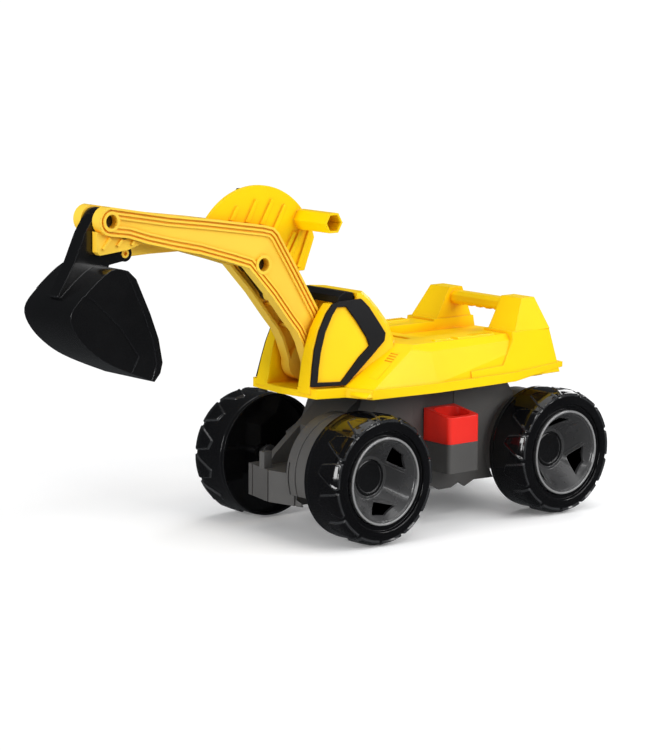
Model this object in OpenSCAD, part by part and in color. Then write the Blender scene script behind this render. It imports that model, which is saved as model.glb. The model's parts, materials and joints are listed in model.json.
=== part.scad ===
// Ride-on toy digger: wheeled chassis, slewing body, two-plate boom and a lever-worked bucket.
// Millimetres. Origin on the ground midway between the axles, -X to the bucket, +Z up.

/* [Wheels] */
// Diameter of each wheel over its tread lugs
wheel_d = 170; // [166:1:171]
// Distance between the front and rear axles
wheel_base = 325; // [322:1:330]
// Width of each tyre
tyre_w = 65.5; // [64:0.5:70]
// Distance from the centre line to the inner edge of a tyre
tyre_in = 84; // [83:0.5:86]
// Number of tread lugs around a tyre
lug_count = 13; // [10:1:16]

/* [Body] */
// Height of the body's lower edge above the ground
rim_z = 185; // [184:0.5:186]
// Height of the seat deck
deck_z = 247; // [245:1:249]
// Height of the rear horns that carry the handle
horn_z = 292; // [288:1:296]
// Wall thickness of the moulded shells
wall = 4; // [3:0.5:4.5]
// Half-width of the slot between the cab cheeks
slot_y = 31; // [30.5:0.5:32]

/* [Boom] */
// Half-width over the two boom plates
boom_y = 28; // [27:0.5:28.5]
// Half-width of the channel between the boom plates
channel_y = 12; // [12:0.5:13]
// Radius of the round finger guard
guard_r = 100; // [94:1:102]

/* [Bucket] */
// Half-width of the bucket
bucket_y = 52; // [44:1:58]
// Wall thickness of the bucket
bucket_wall = 4; // [3:0.5:5]

/* [Hidden] */

$fn = 64;
eps = 0.01;
fit = 0.1;
axle_x = wheel_base / 2;
axle_z = wheel_d / 2;
axle_r = 4;
clip_y = 110;
clip_t = 1.6;
clip_r = 9;
rim_face = 64;
rim_r = 57.8;
hub_face = 30;
cap_r = 23.5;
// Black disc that closes the inner side of a tyre
web_z = 12;
web_r = 14;

// Chassis levels
sill_z = 46;
deck_low = 176;
deck_top = 180;
ring_top = 186;
side_y = 69;
bumper_y = 55;
bumper_z = [44, 86];
pod_x = 27.5;
pod_y = 120;
pod_z = [73, 112];
pod_outer_z = 147.5;
pod_inner_z = 156;

// Slewing joint on the vertical axis through the origin
slew_r = 12;
plate_z = [ring_top + 0.2, ring_top + 4];
screw_r = 1.5;
screw_xy = [[-60, 52], [-60, -52], [95, 70], [95, -70]];

// Boom pivots as [x, z]
base = [-168, 222];
elbow = [-267, 359.6];
tip = [-503.8, 429];
// Parallel crank arms at the elbow and at the tip
crank = [31.8, -42.6];
elbow_crank = elbow + crank;
tip_crank = tip + crank;
pin_r = 5;
pin_bore = 8.5;
pin_seat = 15.8;
grip = [-192, 412];
lever_grip = [-221, 436];
plate_in = channel_y;
skin_y = 21;

// Layers inside the boom channel as [low y, high y]
guard_lay = [-11.7, -7];
link_lay = [-4, 3];
lever_lay = [3.6, 10];
ear_lay = [-11, -4.6];

// A half outline, given on the -Y side, closed with its mirror image
function mirror_y(half) = concat(half,
  [for (i = [len(half) - 1:-1:0]) if (half[i][1] != 0) [half[i][0], -half[i][1]]]);
function inset_point(a, b, c, d) =
  let (u = (b - a) / norm(b - a), v = (c - b) / norm(c - b))
  let (n1 = [-u[1], u[0]], n2 = [-v[1], v[0]])
  b + (n1 + n2) / (1 + n1 * n2) * d;
// Moves every edge of a counter-clockwise outline inwards by d
function inset(p, d) = [for (i = [0:len(p) - 1])
  inset_point(p[(i + len(p) - 1) % len(p)], p[i], p[(i + 1) % len(p)], d)];
function arc(c, r, a0, a1, n) = [for (i = [0:n]) let (a = a0 + (a1 - a0) * i / n) c + r * [cos(a), sin(a)]];
function spline_point(p0, p1, p2, p3, t) =
  0.5 * (2 * p1 + (p2 - p0) * t + (2 * p0 - 5 * p1 + 4 * p2 - p3) * t * t
    + (3 * p1 - p0 - 3 * p2 + p3) * t * t * t);
// Smooth curve through the points of p, with n steps between neighbours
function spline(p, n) = concat(
  [for (i = [0:len(p) - 2], k = [0:n - 1])
    spline_point(p[max(i - 1, 0)], p[i], p[i + 1], p[min(i + 2, len(p) - 1)], k / n)],
  [p[len(p) - 1]]);

// A side view outline [x, z] extruded along Y from y0 to y1
module side(y0, y1) {
  translate([0, y1, 0]) rotate([90, 0, 0]) linear_extrude(y1 - y0) children();
}
// A round bar along Y
module bar_y(c, r, y0, y1) {
  translate([c[0], y1, c[1]]) rotate([90, 0, 0]) cylinder(r = r, h = y1 - y0);
}
// Stacked outlines [z, [[x, y], ...]] with the same number of points joined into one solid
module loft(s) {
  n = len(s[0][1]);
  pts = [for (q = s, p = q[1]) [p[0], p[1], q[0]]];
  bottom = [[for (i = [0:n - 1]) i]];
  top = [[for (i = [n - 1:-1:0]) (len(s) - 1) * n + i]];
  low = [for (k = [0:len(s) - 2], i = [0:n - 1]) [k * n + i, (k + 1) * n + i, k * n + (i + 1) % n]];
  high = [for (k = [0:len(s) - 2], i = [0:n - 1])
    [k * n + (i + 1) % n, (k + 1) * n + i, (k + 1) * n + (i + 1) % n]];
  polyhedron(points = pts, faces = concat(bottom, low, high, top));
}

// Wheels ---------------------------------------------------------------

// Puts a wheel part modelled along +Z, from its inner edge outwards, at one corner
module at_wheel(fore, hand, turn) {
  translate([fore * axle_x, hand * tyre_in, axle_z])
    rotate([-90 * hand, 0, 0]) rotate([0, 0, turn]) children();
}

module tyre(fore, hand) {
  r = axle_z;
  lug = 2.6;
  w = tyre_w;
  at_wheel(fore, hand, 0) color([0.05, 0.05, 0.06]) {
    rotate_extrude() polygon([
      [r - lug, 0], [r - lug, w - 14], [r - 4.5, w - 6], [r - 8, w], [r - 19, w], [r - 21, w - 2.5],
      [rim_r + 0.1, w - 3], [rim_r + 0.1, w - 18], [rim_r + 3, w - 18], [rim_r + 3.1, w - 6],
      [r - 10, w - 4.5], [r - lug - 3, w - 15], [r - lug - 3, web_z + 3], [web_r, web_z + 3],
      [web_r, web_z],
      [r - lug - 3, web_z], [r - lug - 3, 0]
    ]);
    for (i = [0:lug_count - 1]) rotate([0, 0, (i + 0.5) * 360 / lug_count - 90]) tread_lug(r, lug, w);
  }
}

// One raised tread block that tapers towards the middle of the tyre
module tread_lug(r, lug, w) {
  intersection() {
    rotate_extrude() polygon([
      [r - lug - 1, 25], [r - lug, 25], [r, 28], [r, w - 13], [r - 2.6, w - 5.2],
      [r - 6, w - 1.6], [r - 9, w - 1.6], [r - 7, w - 6], [r - lug - 1, w - 15]
    ]);
    rotate([0, 90, 0]) linear_extrude(r + 1) polygon([
      [-26, 1.5], [-32, -11.8], [-64, -17.7], [-66, 14.75], [-60, 17]
    ]);
  }
}

// Openings in the sloping dish of a rim, each corner as [radius, angle]
rim_openings = [
  [[31.5, 61], [46.5, 87], [47, 60], [45, 33]],
  [[31.5, -61], [45, -33], [47, -60], [46.5, -87]],
  [[32.5, 180], [47, 201], [48, 180], [47, 159]]
];
module rim(fore, hand, turn) {
  t = 3;
  at_wheel(fore, hand, turn) color([0.45, 0.45, 0.46]) difference() {
    rotate_extrude() polygon([
      [axle_r + fit, 3], [13, 3], [13, 8], [axle_r + 6, 10], [axle_r + 6, 22], [27, 26.5],
      [50.5, 55], [rim_r - t, 57], [rim_r - t, 47], [rim_r, 47], [rim_r, rim_face - 0.7],
      [rim_r - 0.8, rim_face], [rim_r - 3.6, rim_face], [rim_r - 4.2, rim_face - 1.8],
      [rim_r - 6.2, rim_face - 2.2],
      [rim_r - 6.8, rim_face - 3.8], [28, hub_face + 2], [cap_r + 0.6, hub_face + 2],
      [cap_r + 0.3, hub_face - 2], [clip_r + 3, hub_face - 2], [clip_r + 3, clip_y - tyre_in - 0.4],
      [axle_r + fit, clip_y - tyre_in - 0.4]
    ]);
    for (o = rim_openings)
      translate([0, 0, 20]) linear_extrude(50) polygon([for (q = o) q[0] * [cos(q[1]), sin(q[1])]]);
  }
}

module hub_cap(fore, hand) {
  at_wheel(fore, hand, 0) color([0.08, 0.08, 0.08]) rotate_extrude() polygon([
    [0, hub_face - 0.2], [clip_r + 2, hub_face - 0.2], [clip_r + 2.8, hub_face - 2 + fit],
    [cap_r, hub_face - 2 + fit],
    [cap_r, hub_face + 1], [cap_r - 1.5, hub_face + 2], [cap_r - 3.5, hub_face + 2],
    [cap_r - 4, hub_face + 1.2], [3, hub_face + 1.2], [1, hub_face + 0.6], [0, hub_face + 0.6]
  ]);
}

module axle(fore) {
  color([0.7, 0.7, 0.72]) bar_y([fore * axle_x, axle_z], axle_r, -clip_y - 3, clip_y + 3);
}

// Push-on rings that hold the wheels on their axles
module axle_clips() {
  color([0.6, 0.6, 0.62]) for (fore = [-1, 1], hand = [-1, 1])
    at_wheel(fore, hand, 0) translate([0, 0, clip_y - tyre_in - 0.2]) difference() {
      cylinder(r = clip_r, h = clip_t);
      translate([0, 0, -eps]) cylinder(r = axle_r + 0.02, h = clip_t + 1);
    }
}

// Chassis --------------------------------------------------------------

// Side outline of the main tub, with the uneven lower edge between the wheels
tub = [
  [-103, deck_top], [-112, 160], [-124, 132], [-150, 118], [-150, sill_z + 4], [-20, sill_z + 4],
  [-6, sill_z], [2, 41], [24, 41], [38, 47], [49, 40], [66, 47], [104, sill_z], [150, sill_z + 4],
  [150, 140], [122, deck_top]
];
spine = [
  [-100, deck_top], [-129, 161], [-161, 134], [-161, 86], [-214, 86], [-214, sill_z], [-100, sill_z]
];
// Hollows of the tub and the spine, open below
tub_hollow = [
  [-101, deck_low], [-108, 160], [-119, 132], [-146, 114], [-146, 30], [146, 30], [146, 138],
  [120, deck_low]
];
spine_hollow = [[-100, 168], [-127, 156], [-157, 131], [-157, 82], [-210, 82], [-210, 30], [-100, 30]];
spine_rib = [[-155, 139], [-161, 134], [-204, 100], [-216, 84], [-155, 80]];
bumper = mirror_y([[-237, 0], [-225, -bumper_y], [-170, -bumper_y]]);
fender_r = 76;
// Corners that have an inner drum as [fore, hand]
drums = [[-1, -1], [1, -1], [1, 1]];

module fender(fore, hand) {
  y0 = hand > 0 ? 40 : -79;
  difference() {
    bar_y([fore * axle_x, axle_z], fender_r, y0, y0 + 39);
    translate([fore * axle_x - 100, y0 - 1, -1]) cube([200, 41, 61]);
    bar_ring([fore * axle_x, axle_z], fender_r - 1.6, hand * 58 - 1.2, 2.4);
  }
}
// A shallow groove around a round bar along Y
module bar_ring(c, r, y0, w) {
  difference() {
    bar_y(c, r + 4, y0, y0 + w);
    bar_y(c, r, y0 - 1, y0 + w + 1);
  }
}

module chassis_solid() {
  side(-side_y, side_y) polygon(tub);
  side(-36, 36) polygon(spine);
  side(26, 36) polygon(spine_rib);
  translate([0, 0, bumper_z[0]]) linear_extrude(bumper_z[1] - bumper_z[0]) polygon(bumper);
  for (w = drums) fender(w[0], w[1]);
  for (hand = [-1, 1]) pod(hand);
  // Upright hook on the bumper
  translate([-235, 10, bumper_z[1] - 1]) cube([13, 10, 23]);
}

// Holder that carries one storage box
module pod(hand) {
  translate([0, 0, pod_z[0]]) linear_extrude(pod_z[1] - pod_z[0])
    polygon([for (p = pod_outline(0, 5)) [p[0], hand * p[1]]]);
}
// Plan of a pod: flat against the chassis, rounded corners outside
function pod_outline(d, r) = concat(
  [[-pod_x + d, side_y - 6 + d], [pod_x - d, side_y - 6 + d]],
  arc([pod_x - d - r, pod_y - d - r], r, 0, 90, 5),
  arc([-pod_x + d + r, pod_y - d - r], r, 90, 180, 5));

module chassis_hollow() {
  t = wall;
  difference() {
    union() {
      side(-side_y + t, side_y - t) polygon(tub_hollow);
      side(-36 + t, 36 - t) polygon(spine_hollow);
    }
    // Cross walls, axle tubes and the turntable boss
    for (x = [-70, 70]) translate([x - 1.5, -80, 30]) cube([3, 160, 160]);
    for (fore = [-1, 1]) bar_y([fore * axle_x, axle_z], axle_r + 5, -90, 90);
    translate([0, 0, 150]) cylinder(r = 24, h = 40);
  }
  for (w = drums) {
    y0 = w[1] > 0 ? 44 : -75;
    difference() {
      bar_y([w[0] * axle_x, axle_z], fender_r - t, y0, y0 + 31);
      bar_y([w[0] * axle_x, axle_z], axle_r + 5, -90, 90);
      translate([w[0] * axle_x - 2, -90, 60]) cube([4, 180, 60]);
    }
  }
}

module chassis_frame() {
  color([0.24, 0.24, 0.25]) difference() {
    union() {
      difference() {
        chassis_solid();
        chassis_hollow();
      }
      translate([0, 0, deck_low - 8]) cylinder(r = 20, h = 9);
      // Raised bearing ring for the turntable
      translate([0, 0, deck_top - 1]) difference() {
        cylinder(r = 58, h = ring_top - deck_top + 1);
        translate([0, 0, -1]) cylinder(r = 50, h = 20);
      }
    }
    translate([0, 0, 140]) cylinder(r = slew_r + fit, h = 60);
    translate([0, 0, 140]) cylinder(r = 17, h = 28);
    for (fore = [-1, 1]) bar_y([fore * axle_x, axle_z], axle_r + 0.05, -95, 95);
    // Vertical grooves in the bumper face
    for (y = [-44, 0, 44]) translate([-240, y - 1.2, bumper_z[0] - 1]) cube([(y == 0 ? 6 : 15.6), 2.4, 60]);
    // Sunk panels in the side walls
    for (hand = [-1, 1]) translate([-46, hand * side_y - 1.5, 118]) cube([73, 3, 55]);
    // Pockets in the box holders
    for (hand = [-1, 1]) translate([0, 0, pod_z[1] - 20]) linear_extrude(30)
      polygon([for (p = pod_outline(10, 5)) [p[0], hand * p[1]]]);
  }
}

module storage_box(hand) {
  top = pod_inner_z;
  drop = pod_inner_z - pod_outer_z;
  z0 = pod_z[1] + 0.2;
  color([0.85, 0.08, 0.06]) difference() {
    union() {
      translate([0, 0, z0]) linear_extrude(top - z0)
        polygon([for (p = pod_outline(0, 6)) [p[0], hand * max(p[1], side_y + 0.4)]]);
      translate([0, 0, z0 - 6]) linear_extrude(7)
        polygon([for (p = pod_outline(10.4, 5)) [p[0], hand * p[1]]]);
    }
    // Slanting top edge
    side_cut = [[side_y, top], [pod_y + 1, top - drop], [pod_y + 1, top + 5], [side_y, top + 5]];
    translate([-40, 0, 0]) rotate([90, 0, 90]) linear_extrude(80)
      polygon([for (p = side_cut) [hand * p[0], p[1]]]);
    translate([0, hand * 94.5, z0 + 5]) linear_extrude(60) box_mouth();
  }
}

module box_mouth() {
  for (a = [-1, 1], b = [-1, 1]) translate([a * 8, b * 5]) circle(r = 14);
  square([44, 10], center = true);
  square([16, 38], center = true);
}

// Turntable ------------------------------------------------------------

rim_half = [
  [-217, 0], [-210, -65], [-170, -77], [-155, -113], [-48, -122], [80, -118.5], [187, -113], [192, 0]
];
rim_plan = mirror_y(rim_half);
inner_half = [
  [-212, 0], [-205, -60], [-165, -71], [-149, -107], [-48, -116], [80, -112.5], [181, -107], [186, 0]
];
plate_half = [[-150, 0], [-150, -66], [-140, -98], [-48, -108], [80, -104], [92, -103], [92, 0]];

module turntable_plate() {
  z = plate_z;
  color([0.16, 0.16, 0.17]) difference() {
    union() {
      translate([0, 0, z[0]]) linear_extrude(z[1] - z[0]) polygon(mirror_y(plate_half));
      translate([0, 0, deck_low - 7.7]) cylinder(r = slew_r, h = 20);
      translate([95, 0, z[0]]) linear_extrude(z[1] - z[0]) square([24, 170], center = true);
    }
    translate([0, 0, 140]) cylinder(r = 3.05, h = 60);
    for (p = screw_xy) translate([p[0], p[1], 180]) {
      cylinder(r = screw_r + fit, h = 20);
      cylinder(r = 4, h = plate_z[0] - 180 + 1.6);
    }
  }
}

module slew_washer() {
  color([0.6, 0.6, 0.62]) translate([0, 0, deck_low - 9.8]) difference() {
    cylinder(r = 16, h = 1.6);
    translate([0, 0, -1]) cylinder(r = 3.1, h = 4);
  }
}

module slew_bolt() {
  color([0.62, 0.62, 0.64]) {
    translate([0, 0, deck_low - 14]) cylinder(r = 6.5, h = 4, $fn = 6);
    translate([0, 0, deck_low - 10 - eps]) cylinder(r = 3, h = 20);
  }
}

module body_screws() {
  color([0.6, 0.6, 0.62]) for (p = screw_xy) translate([p[0], p[1], plate_z[0] - 1]) {
    cylinder(r = 3.5, h = 2.4);
    cylinder(r = screw_r, h = 18);
  }
}

// Body -----------------------------------------------------------------

lip_top = 197.5;
// Distance of the cab's flat side from the centre line at [x, z]
function cab_side(x, z) = 65.8 + 0.2115 * (x + 156) - 0.1757 * (z - 199);
// Side outline of the cab
cab_outline = [[-214, 190], [-58, 190], [-58, 226], [-62, 246], [-73, 272], [-90, 293], [-101, 306],
  [-110, 315], [-158, 315], [-169, 306], [-180, 293], [-193.5, 272], [-203, 246], [-208, 226]];
// Rear corner of the cab, seen along its 45 degree face: distance along the diagonal at each height
cab_corner = [[0, 190], [-3, 226], [-9.4, 246], [-19, 272], [-31.8, 293], [-42, 306], [-51, 315]];
function cab_rear(t) = concat(
  [[-300, 320], [-300, 180], [-t, 180]], [for (q = cab_corner) [q[0] - t, q[1]]], [[-60 - t, 320]]);
module cab(t) {
  intersection() {
    side(-90, 90) polygon(inset(cab_outline, t));
    for_sides() window_slab(-150 - t, 150);
    for_sides() rotate([0, 0, -45]) side(-300, 300) polygon(cab_rear(t));
  }
}
// Common volume of a shape and its mirror image in the centre plane
module for_sides() {
  intersection() {
    children();
    mirror([0, 1, 0]) children();
  }
}
// Everything on the inner side of the plane through three points, moved inwards by t
module inside(a, b, c, t) {
  u = (b - a) / norm(b - a);
  n = cross(u, c - a) / norm(cross(u, c - a));
  v = cross(n, u);
  multmatrix([[u[0], v[0], n[0], a[0]], [u[1], v[1], n[1], a[1]], [u[2], v[2], n[2], a[2]], [0, 0, 0, 1]])
    translate([-400, -400, -400 - t]) cube([800, 800, 400]);
}
// Main hull under the deck: corner points of its left side faces, front to rear
hull_low = [[-166, -74, 196.5], [-152, -110, 196.5], [-48, -118.5, 196.5], [180, -109, 196.5]];
hull_mid = [[-84, -100, 238], [-48, -103.5, 238], [174, -102, 238]];
module hull_body(t) {
  intersection() {
    side(-130, 130) polygon(inset([
      [-168, 188], [150, 188], [150, deck_z], [-84, deck_z], [-97, 238], [-167, 196]
    ], t));
    for_sides() inside(hull_low[0], hull_low[1], hull_mid[0], t);
    for_sides() inside(hull_low[1], hull_low[2], hull_mid[1], t);
    for_sides() inside(hull_low[2], hull_mid[2], hull_mid[1], t);
    for_sides() inside(hull_low[2], hull_low[3], hull_mid[2], t);
    for_sides() inside([0, -102.7, 238], [100, -102.7, 238], [0, -95, deck_z], t);
  }
}

// Rear block that carries one horn on each side
block_z = 250;
block_outline = [[14, 189.5], [190, 189.5], [190, block_z], [98, block_z], [98, 240], [75, 208], [14, 206]];
module rear_block(t) {
  intersection() {
    side(-130, 130) polygon(inset(block_outline, t));
    for_sides() inside([98, -116.5, 189.5], [181, -114, 189.5], [135, -104, block_z], t);
    for_sides() inside([187, 0, 189.5], [175, 0, block_z], [181, -112, 189.5], t);
  }
}
module horn(hand, t) {
  w = [52 + t, 104 - t];
  v = [52 + t, 91 - t];
  low = [[104 + t, w[0]], [170 - t, w[0]], [170 - t, w[1]], [104 + t, w[1]]];
  high = [[128 + t, v[0]], [152 - t, v[0]], [152 - t, v[1]], [128 + t, v[1]]];
  s = [[block_z - (t > 0 ? 9 : 1), low], [horn_z - t, high]];
  if (hand > 0) loft(s);
  else mirror([0, 1, 0]) loft(s);
}

module rim_band() {
  intersection() {
    translate([0, 0, rim_z - 1]) linear_extrude(30) polygon(rim_plan);
    side(-130, 130) polygon([
      [-230, rim_z], [95, rim_z], [152, 192.6], [200, 197], [200, 204], [95, lip_top], [-230, lip_top]
    ]);
  }
}

handle_x = 142;
module handle_bar() {
  difference() {
    side(-58, 58) polygon([
      [handle_x - 12, 274], [handle_x - 7, 269], [handle_x + 7, 269], [handle_x + 12, 274],
      [handle_x + 12, 282], [handle_x + 7, 287], [handle_x - 7, 287], [handle_x - 12, 282]
    ]);
    for (k = [-1.5:1.5]) translate([handle_x - 20, k * 18, 266]) rotate([0, 90, 0]) cylinder(r = 6, h = 40);
  }
}

slot_back = -127;
slot_floor = 194;
module body_solid() {
  rim_band();
  hull_body(0);
  rear_block(0);
  cab(0);
  for (hand = [-1, 1]) horn(hand, 0);
  handle_bar();
}

module body_cavity() {
  t = wall;
  difference() {
    union() {
      translate([0, 0, rim_z - 5]) linear_extrude(lip_top - rim_z + 5) polygon(mirror_y(inner_half));
      hull_body(t);
      rear_block(t);
      cab(t);
      for (hand = [-1, 1]) horn(hand, t);
    }
    // Walls of the boom slot and of the seat channel stay
    translate([-240, -slot_y - t, slot_floor - t + 0.5]) cube([slot_back + t + 240, 2 * (slot_y + t), 140]);
    translate([-90, -52 - t, deck_z - 12 - t]) cube([290, 2 * (52 + t), 60]);
    for (p = screw_xy) translate([p[0], p[1], plate_z[1] + 0.2]) cylinder(r = 5, h = 60);
    for (hand = [-1, 1]) bar_y(base, pin_r + 6, hand > 0 ? slot_y : -48, hand > 0 ? 48 : -slot_y);
  }
}

module vent(hand) {
  mirror([0, hand > 0 ? 1 : 0, 0]) translate([-113, -89, 229]) rotate([8, -32, 12]) {
    translate([-32, -6, -4.8]) cube([56, 13, 12]);
    for (k = [0:3]) translate([4 + 5 * k, -5, -6.2]) cube([2.2, 11, 10]);
  }
}

module upper_body() {
  color([0.98, 0.82, 0.02]) difference() {
    body_solid();
    body_cavity();
    // Boom slot between the cheeks
    translate([-240, -slot_y, slot_floor]) cube([slot_back + 240, 2 * slot_y, 140]);
    // Sunk seat channel, deeper towards the handle
    translate([-56, -50, deck_z - 8]) cube([290, 100, 70 - 48]);
    translate([20, -50, deck_z - 12]) cube([290, 100, 20]);
    translate([-58, -40, deck_z - 10]) cube([60, 80, 20]);
    for (hand = [-1, 1]) vent(hand);
    bar_y(base, pin_r + 0.02, -44, 44);
    for (p = screw_xy) translate([p[0], p[1], 180]) cylinder(r = screw_r + 0.02, h = 28);
    // Seat for the roof cap
    roof_seat();
  }
}

module roof_seat() {
  side(-60, 60) polygon([[-175, 303], [-132, 303], [-129, 330], [-175, 330]]);
}

module cab_roof() {
  color([0.12, 0.12, 0.13]) {
    side(-46, 46) polygon([
      [-159, 303.2], [-132.4, 303.2], [-131.6, 312], [-134, 316], [-146, 317], [-157, 312]
    ]);
  }
}

window_outer = [
  [-212, 200], [-206.5, 226], [-201.5, 246], [-192, 270], [-179, 292], [-169, 303], [-159, 306], [-127, 308],
  [-117, 297], [-103, 273], [-97, 262], [-100, 252], [-117, 237], [-144, 214], [-162, 199]
];
window_inner = [
  [-202, 205], [-198, 224], [-193, 243], [-183.5, 268], [-171, 289], [-163, 299], [-150, 299],
  [-136, 278], [-125, 258], [-122, 247], [-138, 234], [-158, 214], [-168, 204]
];

module window_frame(hand) {
  mirror([0, hand > 0 ? 1 : 0, 0]) color([0.16, 0.16, 0.17]) intersection() {
    side(-110, -30) difference() {
      polygon(window_outer);
      polygon(window_inner);
    }
    window_slab(0.2, 3);
  }
}
// Flat slab parallel to the cab's left side, from d to d + h outside it
module window_slab(d, h) {
  turn = atan(0.2115);
  lean = atan(0.1757 * cos(turn));
  translate([-156, -65.8, 199]) rotate([0, 0, -turn]) rotate([-lean, 0, 0])
    translate([-150, -d - h, -60]) cube([300, h, 260]);
}

// Boom -----------------------------------------------------------------

// Side outline of a boom plate, counter-clockwise from the tip
boom_outline = concat(
  arc(tip, 18, 95, 265, 12),
  [[-478, 407], [-449.5, 398.2], [-409, 388.5], [-369, 380], [-320, 366], [-291, 357]],
  [[-253, 317], [-226, 284], [-212, 268], [-203, 253]],
  arc(base, 25, 172, 350, 12),
  [[-150, 252], [-178.4, 298.7], [-210.6, 349.5], [-243, 399], [-251, 406], [-266, 409.8]],
  [[-350, 422.6], [-416.4, 431.5]]);
gusset = [[-480, 405], [-521.5, 417], [-521.5, 392], [-517, 388], [-476, 392], [-452, 399], [-452, 410]];

// Steps of a plate's outer face as [inset from, inset to, depth]
plate_steps = [[3, 5.4, 3.4], [5.4, 8.2, 0.6], [8.2, 10.8, 3.4], [10.8, 13.4, 0.9], [13.4, 0, 3.4]];
gusset_ribs = [
  [[-502.7, 408.4], [-513.4, 395.4]], [[-485.7, 405.1], [-492.2, 397.9]], [[-467.5, 402.8], [-470.7, 398]]
];
rib_y = 24.8;
// A flat shape drawn into one side face at y, from depth below the face to just above it
module outer_layer(hand, y, depth) {
  side(hand > 0 ? y - depth : -y - 1, hand > 0 ? y + 1 : -y + depth) children();
}
module boom_plate(hand) {
  lo = hand > 0 ? plate_in : -boom_y;
  hi = hand > 0 ? boom_y : -plate_in;
  in0 = hand > 0 ? plate_in - 1 : -skin_y;
  in1 = hand > 0 ? skin_y : -plate_in + 1;
  difference() {
    union() {
      difference() {
        side(lo, hi) polygon(boom_outline);
        for (q = plate_steps) outer_layer(hand, boom_y, q[2]) difference() {
          polygon(inset(boom_outline, q[0]));
          if (q[1] > 0) polygon(inset(boom_outline, q[1]));
        }
        side(in0, in1) polygon(inset(boom_outline, 4));
      }
      side(hand > 0 ? plate_in : -22, hand > 0 ? 22 : -plate_in) polygon(gusset);
      for (q = gusset_ribs)
        side(hand > 0 ? 21 : -rib_y, hand > 0 ? rib_y : -21) polygon(strap(q[0], q[1], 1.8, 1.8));
      for (q = [[tip, 12.5], [elbow, 12.5], [base, 21]]) bar_y(q[0], q[1], lo, hi);
      for (q = post_at) bar_y(q, 5.5, hand > 0 ? plate_in : -skin_y - 1, hand > 0 ? skin_y + 5 : -plate_in);
    }
    // Round recesses over the pin heads
    for (q = [tip, elbow])
      bar_y(q, pin_bore, hand > 0 ? pin_seat : -boom_y - 1, hand > 0 ? boom_y + 1 : -pin_seat);
    for (q = [tip, elbow]) bar_y(q, pin_r + 0.02, -40, 40);
    bar_y(base, pin_r + fit, -40, 40);
    for (q = post_at) bar_y(q, screw_r + 0.02, -17, 40);
    if (hand > 0) for (q = post_at) bar_y(q, 3.8, 23.9, 40);
  }
}
post_at = [[-385, 418], [-203, 302], [-172, 254]];
rear_web = [[-206, 318], [-191, 318], [-150, 253], [-150, 240], [-160, 246]];
leg_webs = [
  [[-228, 304], [-227, 300.5], [-203, 302.5], [-203, 306]],
  [[-203, 275], [-204, 272], [-181, 263], [-180, 266]]
];
top_web = [[-430, 433], [-430, 427], [-371, 419], [-371, 424.4], [-416.4, 431.3]];

module boom_left_half() {
  color([0.98, 0.74, 0.05]) boom_plate(-1);
}
module boom_right_half() {
  color([0.98, 0.74, 0.05]) {
    boom_plate(1);
    difference() {
      union() {
        side(-plate_in + fit, plate_in + 1) polygon([for (i = [len(rear_web) - 1:-1:0]) rear_web[i]]);
        side(-plate_in + fit, plate_in + 1) polygon(top_web);
        for (q = leg_webs) side(-plate_in + fit, skin_y + 1) polygon(q);
        for (q = post_at) bar_y(q, 5.5, -plate_in + fit, plate_in + 1);
      }
      for (q = post_at) bar_y(q, screw_r + 0.02, -30, 40);
    }
  }
}
module boom_screws() {
  color([0.6, 0.6, 0.62]) for (q = post_at) {
    bar_y(q, screw_r, -16, 24);
    bar_y(q, 3.5, 24, 26.4);
  }
}
module boom_pivot_pin() {
  color([0.65, 0.65, 0.67]) bar_y(base, pin_r, -43, 43);
}
module boom_spacers() {
  color([0.12, 0.12, 0.13]) for (y = [-boom_y - 2.7, boom_y + 0.2]) difference() {
    bar_y(base, 12, y, y + 2.5);
    bar_y(base, pin_r + 0.05, y - 1, y + 4);
  }
}
module headed_pin(c) {
  color([0.1, 0.1, 0.11]) {
    bar_y(c, pin_r, -pin_seat - 0.1, pin_seat + 0.1);
    for (y = [-pin_seat - 2.1, pin_seat + 0.1 - eps]) bar_y(c, pin_bore - 0.4, y, y + 2);
  }
}

// Finger guard with its fixed hand grip
guard_outline = [
  [-390, 398], [-355, 386], [-292, 366], [-262, 345], [-187, 345], [-165, 402], [-140, 480], [-390, 480]
];
module finger_guard() {
  lay = guard_lay;
  color([1, 0.84, 0.03]) difference() {
    union() {
      intersection() {
        bar_y(elbow, guard_r, lay[0], lay[1]);
        side(-60, 60) polygon(guard_outline);
      }
      // Slanting ribs on the face that shows, outside the boom's outline
      difference() {
        for (q = guard_ribs) side(lay[0] - 3.2, lay[0] + 1) polygon(strap(q[0], q[1], 2.4, 3.2));
        side(-40, lay[0]) polygon(inset(boom_outline, -1));
      }
      side(-76, lay[1]) polygon(hexagon(grip, 14.5));
    }
    side(-90, lay[0] - 3) polygon(hexagon(grip, 11.5));
    bar_y(elbow, pin_r + 0.02, -40, 40);
  }
}
function hexagon(c, r) = arc(c, r, 0, 300, 5);
guard_ribs = [
  [[-298.7, 434], [-314, 408]], [[-268.4, 441], [-288, 405]], [[-242.2, 440], [-265, 400]],
  [[-221.5, 432], [-242, 396]], [[-205, 396], [-221, 370]], [[-191.6, 403], [-215, 362]],
  [[-180, 397], [-199, 350]]
];

// Lever behind the guard, with the grip on the far side
module bucket_lever() {
  lay = lever_lay;
  color([0.07, 0.07, 0.08]) difference() {
    union() {
      bar_y(elbow, 13, lay[0], lay[1]);
      bar_y(elbow_crank, 9, lay[0], lay[1]);
      side(lay[0], lay[1]) polygon(strap(elbow, lever_grip, 9, 8));
      side(lay[0], lay[1]) polygon(strap(elbow_crank, elbow, 7, 10));
      side(lay[0], 80) polygon(hexagon(lever_grip, 12.5));
    }
    bar_y(elbow, pin_r + fit, -40, 40);
    bar_y(elbow_crank, 3.02, -40, 40);
    side(lay[1] + 3, 90) polygon(hexagon(lever_grip, 9.5));
  }
}
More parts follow.
